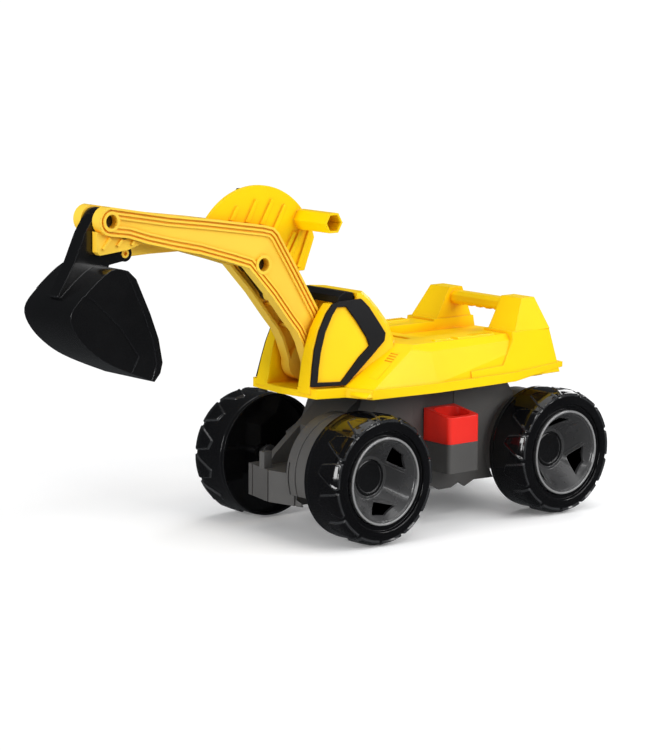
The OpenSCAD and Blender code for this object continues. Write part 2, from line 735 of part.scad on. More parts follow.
// Four-sided strap between two centres with half-widths a and b
function strap(p, q, a, b) = let (u = (q - p) / norm(q - p), n = [-u[1], u[0]])
  [p - n * a, q - n * b, q + n * b, p + n * a];

link_path = [[-472, 381], [-430, 382.5], [-245, 383], [-229, 380], [-231, 345], [-243, 320], [-240, 309],
  [-229, 310], [-221, 322], [-215, 350], [-214, 384], [-222, 393], [-240, 394], [-402, 393.5], [-414, 399],
  [-450, 399], [-458, 393], [-472, 392]];
module bucket_link() {
  lay = link_lay;
  color([0.98, 0.78, 0.05]) difference() {
    union() {
      side(lay[0], lay[1]) polygon(link_path);
      bar_y(elbow_crank, 9, lay[0], lay[1]);
      bar_y(tip_crank, 8.5, lay[0], lay[1]);
      bar_y(tip_crank, 5.5, -11.7, lay[1]);
    }
    bar_y(elbow_crank, 3.1, -40, 40);
    bar_y(tip_crank, 2.5, -30, -8);
  }
}
module link_pin() {
  color([0.6, 0.6, 0.62]) {
    bar_y(elbow_crank, 3, link_lay[0] - 2.2, lever_lay[1] + 1);
    bar_y(elbow_crank, 5, link_lay[0] - 2.4, link_lay[0] - 0.3);
  }
}

// Bucket ---------------------------------------------------------------

bucket_back = [
  [-497, 371], [-522, 373], [-561, 345], [-580, 322], [-571, 297], [-545, 272], [-512, 253], [-458, 231]
];
bucket_mouth = [
  [-458, 231], [-449, 241], [-445.5, 254], [-451.5, 284], [-464, 316], [-485, 360], [-497, 371]
];
function bucket_profile() =
  concat(spline(bucket_back, 4), [for (i = [1:len(bucket_mouth) - 2]) bucket_mouth[i]]);

// Side walls: sunk behind a proud band along the mouth, and again in the lower panel open to the back
band_back = [
  [-600, 220], [-466, 220], [-458, 242], [-454.5, 254], [-460, 282], [-472, 313], [-493, 357],
  [-507, 380], [-600, 380]
];
lower_panel = [
  [-600, 352], [-575, 352], [-561.8, 344.8], [-549.6, 340.5], [-508.4, 302.9], [-480.2, 264.2],
  [-491.9, 243.7], [-500, 235], [-600, 240]
];
module bucket_shell() {
  t = bucket_wall;
  outer = bucket_profile();
  difference() {
    side(-bucket_y, bucket_y) polygon(outer);
    side(-bucket_y + t, bucket_y - t) polygon(concat(
      spline([for (p = bucket_back) p + (([-500, 305] - p) / norm([-500, 305] - p)) * t], 4),
      [[-440, 232], [-430, 250], [-440, 330], [-480, 376]]));
    for (q = [[1, band_back], [2.4, lower_panel]], hand = [-1, 1])
      outer_layer(hand, bucket_y, q[0]) polygon(q[1]);
  }
}

bracket = [
  [-517, 437.5], [-532, 415], [-548, 380], [-572, 341], [-560, 336], [-520, 366], [-498, 369],
  [-496, 374], [-470, 378], [-463, 388], [-468, 395], [-478, 396], [-488, 404], [-489, 428]
];
module bucket() {
  color([0.05, 0.05, 0.06]) difference() {
    union() {
      bucket_shell();
      side(-11, 11) polygon(bracket);
      bar_y(tip, 15.5, -11, 11);
      bar_y(tip_crank, 10, ear_lay[0], ear_lay[1]);
    }
    bar_y(tip, pin_r + fit, -40, 40);
    bar_y(tip_crank, 5.6, -40, 40);
    // Room for the link's eye and bar beside the ear
    side(ear_lay[1], 20) polygon([[-487, 368], [-487, 410], [-440, 420], [-440, 368]]);
  }
}

// Nodes ----------------------------------------------------------------

chassis_frame();
axle(-1);  // front_axle
axle(1);  // rear_axle
axle_clips();
storage_box(-1);  // left_storage_box
storage_box(1);  // right_storage_box
tyre(-1, -1);  // front_left_tyre
tyre(-1, 1);  // front_right_tyre
tyre(1, -1);  // rear_left_tyre
tyre(1, 1);  // rear_right_tyre
rim(-1, -1, -22);  // front_left_rim
rim(-1, 1, -22);  // front_right_rim
rim(1, -1, 36);  // rear_left_rim
rim(1, 1, 36);  // rear_right_rim
hub_cap(-1, -1);  // front_left_hub_cap
hub_cap(-1, 1);  // front_right_hub_cap
hub_cap(1, -1);  // rear_left_hub_cap
hub_cap(1, 1);  // rear_right_hub_cap
turntable_plate();
slew_washer();
slew_bolt();
body_screws();
upper_body();
cab_roof();
window_frame(-1);  // left_window_frame
window_frame(1);  // right_window_frame
boom_pivot_pin();
boom_spacers();
boom_left_half();
boom_right_half();
boom_screws();
finger_guard();
headed_pin(tip);  // tip_pin
headed_pin(elbow);  // elbow_pin
bucket_lever();
bucket_link();
link_pin();
bucket();
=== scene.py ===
"""Looks of a ride-on toy digger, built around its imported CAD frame. Metres, -X to the bucket, +Z up."""
import json
import math

import bmesh
import bpy
import numpy as np
from mathutils import Matrix, Vector


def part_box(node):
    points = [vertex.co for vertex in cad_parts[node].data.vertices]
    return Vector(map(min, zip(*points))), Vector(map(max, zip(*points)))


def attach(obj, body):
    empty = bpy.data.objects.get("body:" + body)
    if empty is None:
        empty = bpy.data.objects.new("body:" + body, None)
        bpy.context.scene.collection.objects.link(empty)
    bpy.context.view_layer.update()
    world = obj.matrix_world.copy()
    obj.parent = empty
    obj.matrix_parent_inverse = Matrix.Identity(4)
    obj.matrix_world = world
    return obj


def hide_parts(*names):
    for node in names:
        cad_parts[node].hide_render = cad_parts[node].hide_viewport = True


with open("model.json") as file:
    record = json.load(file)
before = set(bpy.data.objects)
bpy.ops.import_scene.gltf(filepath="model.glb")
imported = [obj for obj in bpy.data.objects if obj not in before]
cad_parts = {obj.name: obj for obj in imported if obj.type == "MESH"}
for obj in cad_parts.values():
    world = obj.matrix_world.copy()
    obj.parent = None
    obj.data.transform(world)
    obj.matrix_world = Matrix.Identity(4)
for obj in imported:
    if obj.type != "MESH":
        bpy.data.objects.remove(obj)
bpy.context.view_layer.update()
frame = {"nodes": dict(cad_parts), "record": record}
MM = 0.001
scene = bpy.context.scene
behaviour = frame["record"]["behaviour"]
WHEELS = ("front_left", "front_right", "rear_left", "rear_right")
BODY = {node: body for body, nodes in behaviour["bodies"].items() for node in nodes}
SLOT = {part["node"]: part["material_slot"] for part in frame["record"]["subparts"]}
JOINT_AT = {joint["child"]: joint["pos_m"] for joint in behaviour["joints"]}


# Materials ---------------------------------------------------------------

# Each noise as (scale, detail, roughness), then the part of its values that shows
DRIFT, DRIFT_SHOWS = (9.0, 3.0, 0.5), (0.35, 0.7)
SMUDGE, SMUDGE_SHOWS = (38.0, 5.0, 0.65), (0.38, 0.72)
PEEL = (130.0, 3.0, 0.5)
GRAIN = (420.0, 3.0, 0.5)
PEEL_STRENGTH, PEEL_DEPTH = 0.06, 0.12 * MM
# Likeness of the rounded normal to the true one where the lighter edges, wear and painted highlight, start
# and are full, and their amount
WEAR_AND_HIGHLIGHT_SHOWS, WEAR_AND_HIGHLIGHT_AMOUNT = (0.985, 0.86), 0.55
# How far a recess looks for its walls, and the open share of the sky where its painted shade starts and is
# full
RECESS_REACH, RECESS_SHOWS = 14 * MM, (0.9, 0.35)
BEVEL_SAMPLES, RECESS_SAMPLES = 4, 6
COAT_ROUGHNESS = 0.06


def link(tree, a, b):
    tree.links.new(a, b)


def add(tree, kind, **values):
    """A new node, with each value set on the input or else the property of that name."""
    node = tree.nodes.new(kind)
    for key, value in values.items():
        if key in node.inputs:
            node.inputs[key].default_value = value
        else:
            setattr(node, key, value)
    return node


def noise(tree, place, scale, detail, roughness):
    node = add(tree, "ShaderNodeTexNoise", Scale=scale, Detail=detail, Roughness=roughness)
    link(tree, place, node.inputs["Vector"])
    return node.outputs["Fac"]


def ramp(tree, value, low, high, out_low, out_high, **how):
    """value with low to high stretched to out_low to out_high."""
    node = add(tree, "ShaderNodeMapRange", **how)
    for i, number in enumerate((low, high, out_low, out_high)):
        node.inputs[i + 1].default_value = number
    link(tree, value, node.inputs[0])
    return node.outputs[0]


def tint(tree, base, colour, amount):
    """base, a colour or a socket, turned towards colour by the socket amount."""
    node = add(tree, "ShaderNodeMix", data_type="RGBA")
    if isinstance(base, tuple):
        node.inputs["A"].default_value = (*base, 1)
    else:
        link(tree, base, node.inputs["A"])
    node.inputs["B"].default_value = (*colour, 1)
    link(tree, amount, node.inputs["Factor"])
    return node.outputs["Result"]


def plastic(name, colour, drift_to, rough, coat=0.0, grain=0.0, scuff=0.06, edge=0.8, edge_highlight=None,
            spec=0.5, line=None, recess_shade=None):
    """Moulded plastic: slow colour drift, fine moulding grain, faint scuffs, and softly rounded edges that
    are lighter, from wear and, where an edge colour is given, from a painted highlight.
    colour and drift_to are the two ends of the colour drift, and edge is the rounding in millimetres.
    line colours the outlines that a mesh marks with a painted highlight, and the recess colour is a painted
    shade in its recesses."""
    mat = bpy.data.materials.new(name)
    mat.use_nodes = True
    tree = mat.node_tree
    tree.nodes.clear()
    out = add(tree, "ShaderNodeOutputMaterial")
    bsdf = add(tree, "ShaderNodeBsdfPrincipled")
    link(tree, bsdf.outputs["BSDF"], out.inputs["Surface"])
    place = add(tree, "ShaderNodeTexCoord").outputs["Object"]

    # Colour: slow drift, then lighter edges, partly wear and partly a painted highlight
    base = tint(tree, colour, drift_to, ramp(tree, noise(tree, place, *DRIFT), *DRIFT_SHOWS, 0.0, 1.0))
    rounded = add(tree, "ShaderNodeBevel", samples=BEVEL_SAMPLES, Radius=edge * MM)
    geometry = add(tree, "ShaderNodeNewGeometry")
    likeness = add(tree, "ShaderNodeVectorMath", operation="DOT_PRODUCT")
    link(tree, rounded.outputs["Normal"], likeness.inputs[0])
    link(tree, geometry.outputs["Normal"], likeness.inputs[1])
    # A given edge colour is a painted highlight; without one, a slightly lighter tone stands for wear
    wear_and_highlight = edge_highlight or tuple(min(1.0, c * 1.06 + 0.012) for c in colour)
    base = tint(tree, base, wear_and_highlight, ramp(tree, likeness.outputs["Value"], *WEAR_AND_HIGHLIGHT_SHOWS, 0.0, WEAR_AND_HIGHLIGHT_AMOUNT))
    if recess_shade:
        # Painted shade: recesses are coloured darker and warmer, standing in for their shade and the light
        # bounced inside them
        sky = add(tree, "ShaderNodeAmbientOcclusion", samples=RECESS_SAMPLES, Distance=RECESS_REACH)
        base = tint(tree, base, recess_shade, ramp(tree, sky.outputs["AO"], *RECESS_SHOWS, 0.0, 1.0))
    if line:
        # Painted highlight on the outlines, from the mesh's own line attribute
        base = tint(tree, base, line, add(tree, "ShaderNodeAttribute", attribute_name="line").outputs["Fac"])
    link(tree, base, bsdf.inputs["Base Color"])

    # Roughness: smudges and scuffs
    smudge = ramp(tree, noise(tree, place, *SMUDGE), *SMUDGE_SHOWS, rough, rough + scuff)
    link(tree, smudge, bsdf.inputs["Roughness"])
    # Bump: moulding grain, or else a faint orange peel
    peel = add(tree, "ShaderNodeBump", Strength=PEEL_STRENGTH + grain, Distance=PEEL_DEPTH)
    link(tree, noise(tree, place, *(GRAIN if grain else PEEL)), peel.inputs["Height"])
    link(tree, rounded.outputs["Normal"], peel.inputs["Normal"])
    link(tree, peel.outputs["Normal"], bsdf.inputs["Normal"])
    bsdf.inputs["Coat Weight"].default_value = coat
    bsdf.inputs["Coat Roughness"].default_value = COAT_ROUGHNESS
    bsdf.inputs["Specular IOR Level"].default_value = spec
    return mat


def steel(name):
    mat = plastic(name, (0.62, 0.62, 0.64), (0.5, 0.5, 0.52), 0.28, scuff=0.15, grain=0.1)
    mat.node_tree.nodes["Principled BSDF"].inputs["Metallic"].default_value = 1.0
    return mat


# One material for each slot of the record, a lighter copy of the rim plastic as painted highlight for the
# rims' beads, and one for the hub caps
MATERIALS = {
    # The recess colours of the two yellow plastics are painted shade
    "yellow": plastic(
        "yellow_plastic", (0.95, 0.635, 0.0), (0.92, 0.585, 0.0), 0.36,
        coat=0.05, edge=2.2, spec=0.18, recess_shade=(0.92, 0.38, 0.0)),
    "boom_yellow": plastic(
        "boom_plastic", (0.94, 0.63, 0.055), (0.92, 0.58, 0.05), 0.32,
        coat=0.12, edge=0.9, spec=0.4, recess_shade=(0.95, 0.47, 0.01)),
    # The edge colours from here on are painted highlights on rounded edges, and the tyre's line colour a
    # painted highlight on its outlines
    "tyre": plastic(
        "tyre_plastic", (0.0025, 0.0025, 0.003), (0.004, 0.004, 0.0045), 0.10,
        coat=0.35, edge=0.9, edge_highlight=(0.06, 0.062, 0.065), spec=0.3, line=(0.035, 0.036, 0.038)),
    "black": plastic(
        "black_plastic", (0.0025, 0.0026, 0.003), (0.004, 0.004, 0.0045), 0.20,
        coat=0.3, edge=1.6, edge_highlight=(0.035, 0.036, 0.040), spec=0.5),
    "charcoal": plastic(
        "charcoal_plastic", (0.006, 0.006, 0.007), (0.009, 0.009, 0.010), 0.40,
        grain=0.12, edge_highlight=(0.05, 0.05, 0.052), spec=0.12),
    "chassis": plastic(
        "chassis_plastic", (0.086, 0.084, 0.081), (0.068, 0.066, 0.064), 0.34, grain=0.12, edge=1.4),
    "rim": plastic(
        "rim_plastic", (0.046, 0.046, 0.047), (0.036, 0.036, 0.037), 0.26,
        coat=0.35, grain=0.05, edge_highlight=(0.30, 0.30, 0.30), spec=0.8),
    "red": plastic("red_plastic", (0.80, 0.02, 0.01), (0.70, 0.015, 0.01), 0.30, coat=0.2),
    "metal": steel("steel"),
    # The same plastic as the rim, made lighter: a painted highlight on the bead
    "rim_lip": plastic(
        "rim_lip_highlight_plastic", (0.24, 0.24, 0.24), (0.20, 0.20, 0.20), 0.22, coat=0.35, spec=0.8),
    # Black plastic for the hub caps, whose lighter edges are a painted highlight on their rings
    "hub": plastic(
        "hub_plastic", (0.004, 0.004, 0.0045), (0.006, 0.006, 0.0065), 0.22,
        coat=0.3, edge=0.8, edge_highlight=(0.16, 0.16, 0.165), spec=0.4),
}


# Mesh helpers ------------------------------------------------------------

# Vertices this close are welded, and faces that turn less than this are merged
WELD, FLAT_ANGLE = 2e-6, math.radians(0.6)
# Steps of a rounded edge, and in degrees the angle above which edges are rounded
ROUND_STEPS, ROUND_ABOVE = 2, 28
# Angle in degrees up to which a piece is shaded smooth
SMOOTHING = 60


def new_object(name, mesh):
    obj = bpy.data.objects.new(name, mesh)
    scene.collection.objects.link(obj)
    return obj


def mesh_of(bm, name):
    """Writes bm to a new mesh and frees it."""
    mesh = bpy.data.meshes.new(name)
    bm.to_mesh(mesh)
    bm.free()
    return mesh


def applied(obj):
    """Turns obj's modifiers into plain mesh."""
    bpy.context.view_layer.update()
    graph = bpy.context.evaluated_depsgraph_get()
    mesh = bpy.data.meshes.new_from_object(obj.evaluated_get(graph), depsgraph=graph)
    obj.modifiers.clear()
    old = obj.data
    obj.data = mesh
    bpy.data.meshes.remove(old)


def dress(obj, host, look=None, replace=False):
    """Gives obj the body of the CAD node host and the material of its slot, or else the material look.
    With replace, obj stands for the node."""
    obj.data.materials.clear()
    obj.data.materials.append(MATERIALS[look or SLOT[host]])
    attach(obj, BODY[host])
    if replace:
        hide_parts(host)


def shade_smooth(obj, angle):
    """Smooth shading with sharp edges above an angle in degrees."""
    mesh = obj.data
    mesh.polygons.foreach_set("use_smooth", [True] * len(mesh.polygons))
    mesh.set_sharp_from_angle(angle=math.radians(angle))


def clean_copy(node):
    """A copy of a CAD node's mesh, welded and with its flat faces merged."""
    mesh = frame["nodes"][node].data.copy()
    bm = bmesh.new()
    bm.from_mesh(mesh)
    bmesh.ops.remove_doubles(bm, verts=bm.verts, dist=WELD)
    bmesh.ops.dissolve_limit(bm, angle_limit=FLAT_ANGLE, verts=bm.verts, edges=bm.edges)
    bm.to_mesh(mesh)
    bm.free()
    return new_object(node + "_shell", mesh)


def round_edges(obj, width, above=ROUND_ABOVE, smooth=SMOOTHING):
    """Rounds obj's edges above an angle by width in millimetres, and shades it smooth up to another angle."""
    bevel = obj.modifiers.new("round", "BEVEL")
    bevel.width = width * MM
    bevel.segments = ROUND_STEPS
    bevel.limit_method = "ANGLE"
    bevel.angle_limit = math.radians(above)
    bevel.use_clamp_overlap = True
    bevel.miter_outer = "MITER_ARC"
    weighted = obj.modifiers.new("weighted", "WEIGHTED_NORMAL")
    weighted.keep_sharp = True
    shade_smooth(obj, smooth)
    applied(obj)


# Shells of the CAD nodes ---------------------------------------------------

# Rounding of edges in millimetres, and the pieces with another
ROUNDING = 0.5
ROUNDINGS = {"upper_body": 1.0, "chassis_frame": 1.0, "boom_left_half": 0.8, "boom_right_half": 0.8,
             "finger_guard": 1.5}
# Pieces of flat faces are shaded smooth only up to these angles, in degrees
SMOOTHINGS = {"upper_body": 4, "chassis_frame": 20}
# Nodes that get their own visible shape further down
OWN_SHAPE = {corner + "_tyre" for corner in WHEELS} | {"bucket"}


def shell(node):
    """The visible form of a CAD node: the same shape with moulded, rounded edges."""
    obj = clean_copy(node)
    round_edges(obj, ROUNDINGS.get(node, ROUNDING), smooth=SMOOTHINGS.get(node, SMOOTHING))
    # Hub caps take their own black plastic, whose lighter edges are a painted highlight
    dress(obj, node, look="hub" if node.endswith("_hub_cap") else None, replace=True)


for node in frame["nodes"]:
    if node not in OWN_SHAPE:
        shell(node)


# Wheel parts, modelled along +Z in millimetres -------------------------------

def all_round(steps):
    """Angles of that many steps round a circle."""
    return np.arange(steps) * 2 * math.pi / steps


def at_wheel(corner):
    """Matrix that puts a wheel part modelled along +Z, from the tyre's inner edge outwards, at one corner."""
    x, y, z = JOINT_AT[BODY[corner + "_tyre"]]
    hand = math.copysign(1, y)
    inner_edge = min((end.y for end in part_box(corner + "_tyre")), key=abs)
    return Matrix.Translation((x, inner_edge, z)) @ Matrix.Rotation(math.radians(-90 * hand), 4, "X")


def turned(name, radius, width, angle):
    """A closed ring round Z. Each row of radius and width has one value, or one for each angle."""
    radius, width, angle = np.broadcast_arrays(radius, width, angle)
    verts = np.stack([radius * np.cos(angle), radius * np.sin(angle), width], axis=-1).reshape(-1, 3) * MM
    rows, around = radius.shape
    faces = []
    for i in range(rows):
        here, there = i * around, (i + 1) % rows * around
        for j in range(around):
            k = (j + 1) % around
            faces.append((here + j, here + k, there + k, there + j))
    mesh = bpy.data.meshes.new(name)
    mesh.from_pydata(verts.tolist(), [], faces)
    return mesh


def face_outwards(mesh):
    bm = bmesh.new()
    bm.from_mesh(mesh)
    bmesh.ops.recalc_face_normals(bm, faces=bm.faces)
    bm.to_mesh(mesh)
    bm.free()


# Tyres ---------------------------------------------------------------------

# Tread blocks round a tyre, and the steps of the mesh to each of them and along the section
LUGS, LUG_STEPS, SECTION_STEP = 13, 42, 1.0
# Height of the tread blocks on the tread and on the sidewall, which starts this far along the section
LUG_H, SIDE_LUG_H, SIDEWALL = 2.4, 1.1, 66
# The blocks' sides rise, then their middles sink by a share, between these distances from their outline
LUG_SIDE, LUG_POCKET, POCKET_SHARE = (-0.3, 0.9), (2.0, 3.1), 0.32
# Middle and breadth of the outline that the material paints as a highlight, as distances inside a block
LINE_AT, LINE_BREADTH = 0.2, 0.8
# A fine raised line round the inner edge of the tread: where it rises and sinks again, and its height
FINE_LINE, FINE_LINE_H = ((5.0, 5.8), (6.6, 7.4)), 0.5
# Where the blocks' height and their painted highlight outline grow to full, along the section
LUG_START, LINE_START = (24, 28), (25, 28)
TREAD_R = 82.5
# Length of a degree round the tread
MM_PER_DEGREE = 1.44
# One tread block as [distance along the section, angle], the section running over the shoulder
BLOCK = np.array([(26, -1), (32, -9), (63.5, -13), (64.5, 10), (60, 11.5)], float)
# Outside of the section, from the inner edge over the tread and shoulder to the sidewall: [radius, width]
OUTER = [(TREAD_R, 0), (TREAD_R, 51), (81.6, 55.5), (80.2, 59.0), (79.0, 61.2), (77.8, 62.4), (76.4, 63.1),
         (66.4, 64.9)]
# The rest of it, back along the inside: the step to the rim, its seat, the tread, and the web to the axle
INNER = [(65.8, 64.7), (65.2, 63.8), (64.8, 61.4), (64.2, 60.7), (58.6, 60.7), (58.0, 60.2), (58.0, 48.0),
         (60.8, 48.0), (61.0, 59.2), (74.6, 60.2), (77.6, 56.0), (79.4, 50.5), (79.4, 15.0), (14.0, 15.0),
         (14.0, 12.0), (79.4, 12.0), (79.4, 0.6), (79.8, 0.1), (82.1, 0.0)]
# Angle of the first block, which sits 10 degrees above the front of the left wheels
TREAD_START = 170.0
TYRE_SMOOTHING = 40


def resample(points, step):
    """Evenly spaced points along a polyline, with the distance of each from its start."""
    pts = np.array(points, float)
    seg = np.hypot(*np.diff(pts, axis=0).T)
    run = np.concatenate([[0], np.cumsum(seg)])
    at = np.linspace(0, run[-1], int(run[-1] / step) + 1)
    return np.column_stack([np.interp(at, run, pts[:, 0]), np.interp(at, run, pts[:, 1])]), at


def inside_distance(px, py, polygon):
    """Distance from each point to the polygon's outline, positive inside it."""
    best = np.full(px.shape, np.inf)
    inside = np.zeros(px.shape, bool)
    for (ax, ay), (bx, by) in zip(polygon, np.roll(polygon, -1, axis=0)):
        dx, dy = bx - ax, by - ay
        t = np.clip(((px - ax) * dx + (py - ay) * dy) / (dx * dx + dy * dy), 0, 1)
        best = np.minimum(best, np.hypot(px - ax - t * dx, py - ay - t * dy))
        inside ^= ((ay > py) != (by > py)) & (px < dx * (py - ay) / (dy + 1e-12) + ax)
    return np.where(inside, best, -best)


def ease(x, low, high):
    """Smooth step from 0 at low to 1 at high."""
    t = np.clip((x - low) / (high - low), 0, 1)
    return t * t * (3 - 2 * t)


def tyre_mesh(name):
    outer, run = resample(OUTER, SECTION_STEP)
    along = np.gradient(outer, axis=0)
    normal = np.column_stack([along[:, 1], -along[:, 0]])
    normal /= np.linalg.norm(normal, axis=1)[:, None]
    angle = all_round(LUGS * LUG_STEPS)
    pitch = 360 / LUGS
    local = np.degrees(angle) % pitch - pitch / 2
    px, py = np.meshgrid(run, local * MM_PER_DEGREE, indexing="ij")
    gap = inside_distance(px, py, BLOCK * (1, MM_PER_DEGREE))
    shape = ease(gap, *LUG_SIDE) - POCKET_SHARE * ease(gap, *LUG_POCKET)
    # Lower on the sidewall, so that the wheel keeps its width
    height = (np.where(run > SIDEWALL, SIDE_LUG_H, LUG_H) * ease(run, *LUG_START))[:, None] * shape
    rise, sink = FINE_LINE
    height += FINE_LINE_H * (ease(run, *rise) - ease(run, *sink))[:, None]
    # Painted highlight along the blocks' outlines, kept in the line attribute for the tyre material
    line = np.exp(-((gap - LINE_AT) / LINE_BREADTH) ** 2) * ease(run, *LINE_START)[:, None]
    radius = outer[:, :1] + normal[:, :1] * height
    width = outer[:, 1:] + normal[:, 1:] * height
    inner = np.repeat(np.array(INNER)[:, :, None], len(angle), axis=2)
    mesh = turned(name, np.vstack([radius, inner[:, 0]]), np.vstack([width, inner[:, 1]]), angle)
    marks = np.concatenate([line.ravel(), np.zeros(inner[:, 0].size)])
    mesh.attributes.new("line", "FLOAT", "POINT").data.foreach_set("value", marks.astype(np.float32))
    face_outwards(mesh)
    return mesh


def tyre(corner):
    name = corner + "_tyre_tread"
    obj = new_object(name, tyre_mesh(name))
    # Blocks are modelled half a pitch away from angle 0
    turn = math.radians(TREAD_START - 180 / LUGS)
    obj.data.transform(at_wheel(corner) @ Matrix.Rotation(turn, 4, "Z"))
    shade_smooth(obj, TYRE_SMOOTHING)
    dress(obj, corner + "_tyre", replace=True)


# Rims ----------------------------------------------------------------------

# The sloping dish runs between these points, as [radius, width]
DISH = ((28.0, 32.0), (51.0, 60.2))
# Turn of the rims in degrees, as in the CAD
RIM_TURN = {"front": -22, "rear": 36}
# Half breadth and height of a ridge, how far its foot sinks into the dish, and its number of steps
RIDGE_HALF, RIDGE_H, RIDGE_FOOT, RIDGE_STEPS = 0.75, 0.9, 0.6, 14
# Share of the half breadth that its top keeps, and share of the height that its ends keep
RIDGE_TOP, RIDGE_END = 0.45, 0.35
RIDGE_SMOOTHING = 40
# Near edge of two openings as [radius, angle] to [radius, angle], and the side its ridges lie on
RIDGED = (((32.5, 61), (46.5, 32), -1), ((32.5, -61), (46.5, -32), 1))
RIDGE_OFFSETS = (2.4, 5.2)
# Ridges that run straight out beside the third opening: their two radii, and their angles
RADIAL_RIDGE = (35.0, 46.5)
RADIAL_ANGLES = (153.5, 150.0, 206.5, 210.0)
# Bead on the rim's outer edge: middle radius, width of its foot, half its breadth, its height and depth
LIP_R, LIP_FACE, LIP_HALF, LIP_PROUD, LIP_DEPTH = 55.6, 64.0, 1.4, 0.8, 0.8
LIP_STEPS, LIP_AROUND, LIP_SMOOTHING = 8, 120, 50


def dish_width(radius):
    (r0, w0), (r1, w1) = DISH
    return w0 + (radius - r0) * (w1 - w0) / (r1 - r0)


def polar(radius, degrees):
    return radius * np.array([math.cos(math.radians(degrees)), math.sin(math.radians(degrees))])


def ridge(bm, start, end, offset=0.0):
    """A thin raised line on the dish between two [radius, angle] points, moved sideways by offset."""
    a, b = polar(*start), polar(*end)
    along = (b - a) / np.linalg.norm(b - a)
    across = np.array([-along[1], along[0]])
    rings = []
    for i in range(RIDGE_STEPS + 1):
        centre = a + (b - a) * i / RIDGE_STEPS + across * offset
        # Its ends run out over two steps
        lift = RIDGE_H * min(1.0, RIDGE_END + (1 - RIDGE_END) * min(i, RIDGE_STEPS - i) / 2)
        ring = []
        for side, up in ((-1, -RIDGE_FOOT), (-RIDGE_TOP, lift), (RIDGE_TOP, lift), (1, -RIDGE_FOOT)):
            x, y = centre + across * side * RIDGE_HALF
            ring.append(bm.verts.new((x * MM, y * MM, (dish_width(math.hypot(x, y)) + up) * MM)))
        rings.append(ring)
    for one, two in zip(rings, rings[1:]):
        for k in range(4):
            bm.faces.new((one[k], one[(k + 1) % 4], two[(k + 1) % 4], two[k]))
    bm.faces.new(rings[0][::-1])
    bm.faces.new(rings[-1])


def rim_ridges(corner):
    """Raised lines beside the openings of a rim."""
    bm = bmesh.new()
    for start, end, side in RIDGED:
        for offset in RIDGE_OFFSETS:
            ridge(bm, start, end, side * offset)
    for angle in RADIAL_ANGLES:
        ridge(bm, *((radius, angle) for radius in RADIAL_RIDGE))
    bmesh.ops.recalc_face_normals(bm, faces=bm.faces)
    obj = new_object(corner + "_rim_ridges", mesh_of(bm, corner + "_rim_ridges"))
    turn = math.radians(RIM_TURN[corner.split("_")[0]])
    obj.data.transform(at_wheel(corner) @ Matrix.Rotation(turn, 4, "Z"))
    shade_smooth(obj, RIDGE_SMOOTHING)
    dress(obj, corner + "_rim")


def rim_lip(corner):
    """The rounded bead that runs round the outer edge of a rim, in a lighter copy of the rim plastic that
    paints a highlight on it.
    """
    turns = [math.pi * k / LIP_STEPS for k in range(LIP_STEPS + 1)]
    radius = [LIP_R + LIP_HALF * math.cos(t) for t in turns] + [LIP_R - LIP_HALF, LIP_R + LIP_HALF]
    width = [LIP_FACE + LIP_PROUD * math.sin(t) for t in turns] + [LIP_FACE - LIP_DEPTH] * 2
    name = corner + "_rim_lip"
    mesh = turned(name, np.array(radius)[:, None], np.array(width)[:, None], all_round(LIP_AROUND))
    face_outwards(mesh)
    mesh.transform(at_wheel(corner))
    obj = new_object(name, mesh)
    shade_smooth(obj, LIP_SMOOTHING)
    # The bead's lighter plastic is a painted highlight
    dress(obj, corner + "_rim", look="rim_lip")


for corner in WHEELS:
    tyre(corner)
    rim_ridges(corner)
    rim_lip(corner)


# Bucket --------------------------------------------------------------------

# The wide edge between a side wall and the curved back: its rounding and steps
BUCKET_EDGE, BUCKET_EDGE_STEPS = 3.0 * MM, 4
# Rounding of its other edges in millimetres, and the angle above which they are rounded
BUCKET_ROUNDING, BUCKET_ABOVE = 0.7, 35
# Sideways share of a normal above which a face is of a side wall, and below which it is of the back
WALL_SHARE, BACK_SHARE = 0.99, 0.2
# A wide edge has a face of the back that spans this much, and both its ends are this far from the middle
BACK_SPAN, BACK_SIDE = 80 * MM, 49 * MM


def is_back_edge(edge):
    """Whether a side wall meets the outside of the curved back at this edge."""
    walls = [f for f in edge.link_faces if abs(f.normal.y) > WALL_SHARE]
    backs = [f for f in edge.link_faces if abs(f.normal.y) < BACK_SHARE]
    if len(edge.link_faces) != 2 or len(walls) != 1 or len(backs) != 1:
        return False
    spread = [v.co.y for v in backs[0].verts]
    outward = walls[0].normal.y * edge.verts[0].co.y > 0
    far_out = min(abs(v.co.y) for v in edge.verts) > BACK_SIDE
    return outward and far_out and max(spread) - min(spread) > BACK_SPAN


def soft_bucket():
    """The bucket with wide rounded edges between its side walls and its curved back."""
    obj = clean_copy("bucket")
    bm = bmesh.new()
    bm.from_mesh(obj.data)
    bmesh.ops.bevel(bm, geom=[edge for edge in bm.edges if is_back_edge(edge)], offset=BUCKET_EDGE,
                    segments=BUCKET_EDGE_STEPS, profile=0.5, affect="EDGES", clamp_overlap=True)
    bm.to_mesh(obj.data)
    bm.free()
    round_edges(obj, BUCKET_ROUNDING, above=BUCKET_ABOVE)
    dress(obj, "bucket", replace=True)


soft_bucket()


# Deck pads -----------------------------------------------------------------

# Pads lie between these distances from the middle, with their foot at this height, just inside the deck
PAD_SIDE, PAD_FOOT = (78.0, 94.0), 246
PAD_TAPER, PAD_ROUNDING = 1.2, 0.6
# The rear pad and the narrower front one, as [start, end, top]
REAR_PAD, FRONT_PAD, FRONT_PAD_INSET = (10, 78, 249.2), (-28, 3, 248.8), 3
# Grip ribs on the rear pad
RIBS, RIB_START, RIB_PITCH, RIB_BREADTH, RIB_INSET = 9, 38, 4.2, 2.0, 2.5
RIB_FOOT, RIB_TOP, RIB_TAPER = 249, 250.2, 0.5


